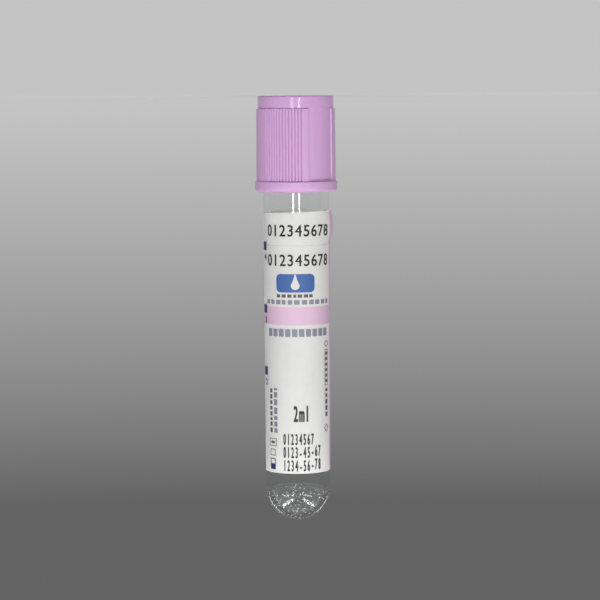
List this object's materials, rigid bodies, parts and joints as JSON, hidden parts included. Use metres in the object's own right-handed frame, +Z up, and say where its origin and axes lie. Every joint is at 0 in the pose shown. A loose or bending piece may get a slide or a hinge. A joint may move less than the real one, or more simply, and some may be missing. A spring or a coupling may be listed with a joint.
{
  "type": "blood collection tube",
  "caption": "Clear plastic vacuum tube, stood on its cap, with a paper label, dried additive droplets and a ribbed lavender cap that carries a rubber stopper.",
  "frame": {"origin": "on the surface that the cap stands on, on the tube's axis", "axes": "+Z up along the axis, from the cap's flat rim to the tube's round end, because the tube is stood upside down on its cap; the label's front faces -Y"},
  "size_m": [0.0162, 0.0162, 0.0835],
  "materials": {
    "clear_tube": "clear moulded plastic",
    "stopper_rubber": "matt",
    "cap_plastic": "satin moulded",
    "label_paper": "coated paper",
    "sticker_paper": "coated paper",
    "pink_ink": "printed",
    "blue_ink": "printed",
    "navy_ink": "printed",
    "black_ink": "printed",
    "dried_additive": "dried clear droplets"
  },
  "bodies": {
    "closure": {"safety_cap": "cap_plastic", "rubber_stopper": "stopper_rubber"},
    "vial": {"tube": "clear_tube", "label": "label_paper", "peel_off_sticker": "sticker_paper", "pink_print": "pink_ink", "blue_print": "blue_ink", "scale_marks": "navy_ink", "black_print": "black_ink", "additive_droplets": "dried_additive"}
  },
  "joints": [
    {"name": "tube_pull", "type": "slide", "parent": "closure", "child": "vial", "axis": [0, 0, 1], "range_m": [0, 0.03]}
  ]
}
